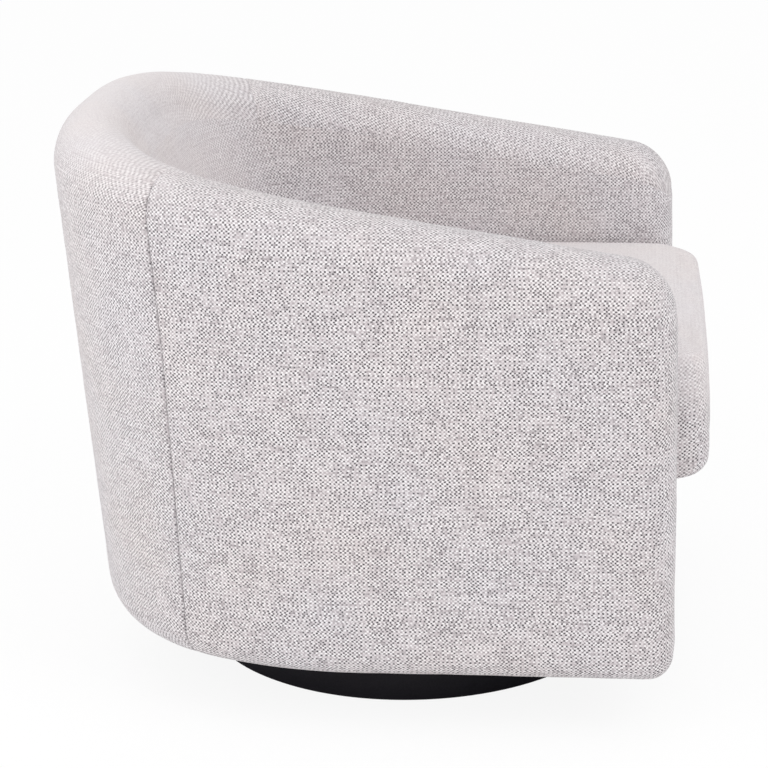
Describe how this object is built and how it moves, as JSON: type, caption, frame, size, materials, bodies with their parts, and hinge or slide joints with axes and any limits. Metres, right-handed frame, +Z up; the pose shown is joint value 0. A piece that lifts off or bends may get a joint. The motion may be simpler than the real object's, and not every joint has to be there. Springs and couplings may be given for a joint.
{
  "type": "swivel rocker",
  "caption": "Barrel-backed upholstered swivel rocker chair with a loose seat cushion on a low round black plinth.",
  "frame": {"origin": "on the floor at the swivel axis, in the middle of the underside of the floor felt", "axes": "+Z up, the chair faces -Y, +X is the sitter's left; the rock axis runs along X at 0.115 m above the floor"},
  "size_m": [0.746, 0.8177, 0.716],
  "materials": {
    "tweed": "matte",
    "foam": "matte",
    "timber": "matte",
    "board": "matte",
    "black_finish": "satin",
    "black_steel": "satin",
    "steel": "satin",
    "bronze": "satin",
    "felt": "matte",
    "black_cloth": "matte",
    "webbing": "matte"
  },
  "bodies": {
    "base": {"floor_felt": "felt", "plinth_lower_disc": "board", "plinth_upper_disc": "board", "plinth_edge_band": "black_finish", "lower_bearing_plate": "steel", "plate_screws": "steel", "bearing_balls": "steel", "ball_cage": "steel", "king_pin": "steel", "king_pin_washer": "steel", "king_pin_nut": "steel"},
    "turntable": {"upper_bearing_plate": "steel", "king_pin_bush": "bronze", "rocker_cradle_left": "black_steel", "rocker_cradle_right": "black_steel", "turntable_bolts": "steel", "spring_bar_front": "black_steel", "spring_bar_rear": "black_steel", "rocker_springs": "steel"},
    "tub": {"rocker_hanger_left": "black_steel", "rocker_hanger_right": "black_steel", "rocker_pins": "steel", "pin_clips": "steel", "hanger_screws": "steel", "cross_rail_front": "timber", "cross_rail_rear": "timber", "seat_rail_front": "timber", "seat_rail_left": "timber", "seat_rail_right": "timber", "seat_rail_back": "timber", "spring_rail": "timber", "corner_blocks": "timber", "seat_springs": "steel", "spring_clips": "steel", "deck_pad": "felt", "deck_cloth": "black_cloth", "cushion_core": "foam", "seat_cushion": "tweed", "arm_cover_left": "tweed", "arm_cover_right": "tweed", "back_cover": "tweed", "arm_foam_left": "foam", "arm_foam_right": "foam", "back_foam": "foam", "arm_bottom_rails": "timber", "arm_top_rails": "timber", "front_posts": "timber", "rear_posts": "timber", "back_bottom_rail": "timber", "back_top_rail": "timber", "back_posts": "timber", "back_slats": "timber", "arm_board_left": "board", "arm_board_right": "board", "back_board": "board", "wall_cleats": "timber", "webbing_straps": "webbing", "border_cover": "tweed", "border_pad": "foam", "dust_cover": "black_cloth"}
  },
  "joints": [
    {"name": "swivel", "type": "hinge", "parent": "base", "child": "turntable", "pos_m": [0, 0, 0.052], "axis": [0, 0, 1], "continuous": true},
    {"name": "rock", "type": "hinge", "parent": "turntable", "child": "tub", "pos_m": [0, 0, 0.115], "axis": [1, 0, 0], "range_deg": [-5, 5], "stiffness_Nm_per_rad": 900, "springref_deg": 1.57, "deforming": ["rocker_springs"]}
  ]
}
